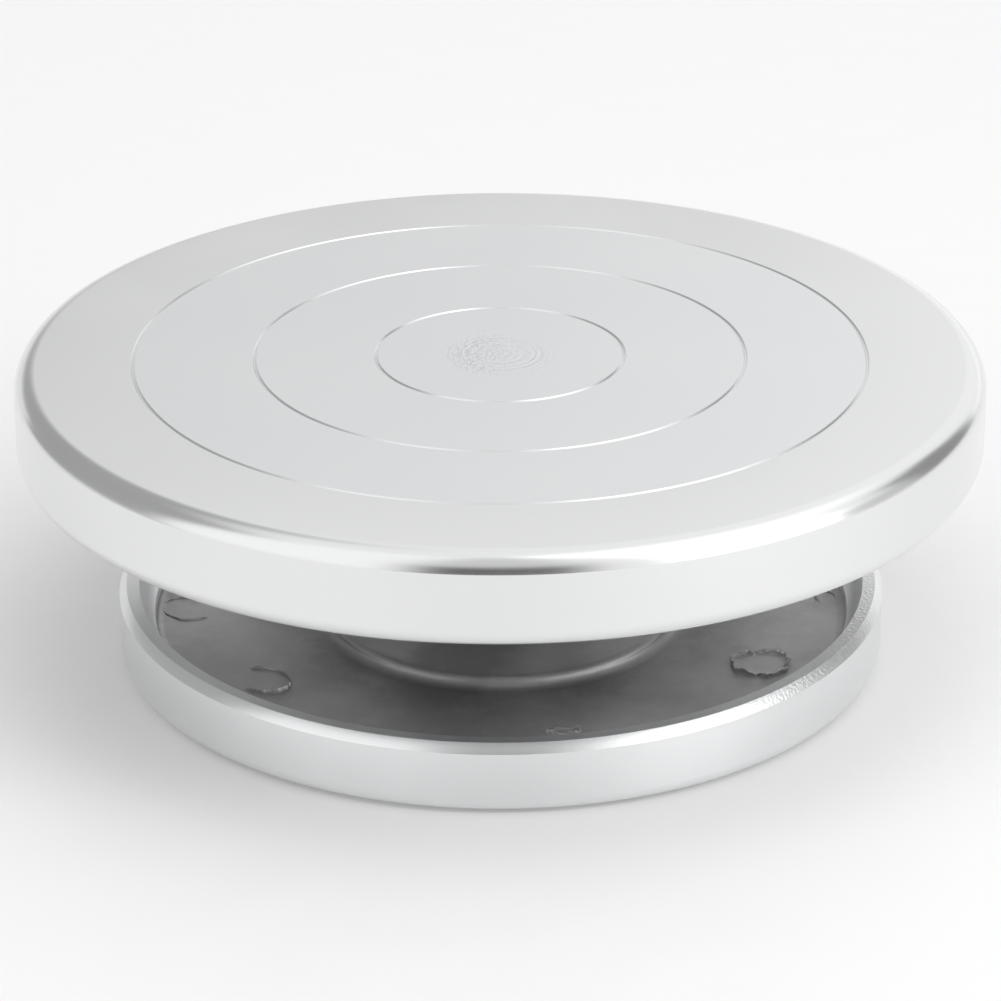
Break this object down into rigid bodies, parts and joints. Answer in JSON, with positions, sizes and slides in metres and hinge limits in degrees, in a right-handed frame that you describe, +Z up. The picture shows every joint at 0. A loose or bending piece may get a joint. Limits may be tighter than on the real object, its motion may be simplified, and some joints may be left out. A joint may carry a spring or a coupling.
{
  "type": "cake turntable",
  "caption": "Rotating cake stand: a broad round turned disc with ring grooves on a steel spindle and ball bearings in a round dish base.",
  "frame": {"origin": "on the surface that the feet stand on, under the spindle's axis", "axes": "+Z up along the spindle's axis; the turntable is round, so +X and +Y are free, and a front view looks along +Y"},
  "size_m": [0.3, 0.3, 0.0971],
  "materials": {
    "disc_aluminium": "turned on the lathe, satin, faint concentric marks",
    "base_aluminium": "turned and satin outside, as cast and dull inside the dish and underneath",
    "ground_steel": "ground",
    "bearing_steel": "polished",
    "cage_steel": "pressed, dull",
    "shield_steel": "rolled sheet",
    "zinc_steel": "zinc plated",
    "black_rubber": "matte"
  },
  "bodies": {
    "base": {"base_dish": "base_aluminium", "rubber_foot_1": "black_rubber", "rubber_foot_2": "black_rubber", "rubber_foot_3": "black_rubber", "rubber_foot_4": "black_rubber", "dust_seal": "black_rubber", "upper_outer_race": "bearing_steel", "upper_shield_top": "shield_steel", "upper_shield_bottom": "shield_steel", "lower_outer_race": "bearing_steel", "lower_shield_top": "shield_steel", "lower_shield_bottom": "shield_steel", "retaining_ring": "ground_steel", "bottom_cover": "zinc_steel", "cover_screw_1": "zinc_steel", "cover_screw_2": "zinc_steel", "cover_screw_3": "zinc_steel"},
    "turntable": {"turntable_disc": "disc_aluminium", "spindle": "ground_steel", "spindle_screw_1": "zinc_steel", "spindle_screw_2": "zinc_steel", "spindle_screw_3": "zinc_steel", "spindle_screw_4": "zinc_steel", "upper_inner_race": "bearing_steel", "lower_inner_race": "bearing_steel", "spacer_sleeve": "ground_steel", "spindle_washer": "zinc_steel", "lock_nut": "zinc_steel"},
    "upper_bearing_cage": {"upper_cage": "cage_steel", "upper_ball_1": "bearing_steel", "upper_ball_2": "bearing_steel", "upper_ball_3": "bearing_steel", "upper_ball_4": "bearing_steel", "upper_ball_5": "bearing_steel", "upper_ball_6": "bearing_steel", "upper_ball_7": "bearing_steel", "upper_ball_8": "bearing_steel"},
    "lower_bearing_cage": {"lower_cage": "cage_steel", "lower_ball_1": "bearing_steel", "lower_ball_2": "bearing_steel", "lower_ball_3": "bearing_steel", "lower_ball_4": "bearing_steel", "lower_ball_5": "bearing_steel", "lower_ball_6": "bearing_steel", "lower_ball_7": "bearing_steel", "lower_ball_8": "bearing_steel"}
  },
  "joints": [
    {"name": "turntable_spin", "type": "hinge", "parent": "base", "child": "turntable", "pos_m": [0, 0, 0.0635], "axis": [0, 0, 1], "continuous": true},
    {"name": "upper_cage_orbit", "type": "hinge", "parent": "base", "child": "upper_bearing_cage", "pos_m": [0, 0, 0.0635], "axis": [0, 0, 1], "continuous": true},
    {"name": "lower_cage_orbit", "type": "hinge", "parent": "base", "child": "lower_bearing_cage", "pos_m": [0, 0, 0.0228], "axis": [0, 0, 1], "continuous": true}
  ],
  "couplings": [
    {"joint": "upper_cage_orbit", "follows": "turntable_spin", "ratio": 0.38165},
    {"joint": "lower_cage_orbit", "follows": "turntable_spin", "ratio": 0.38165}
  ]
}
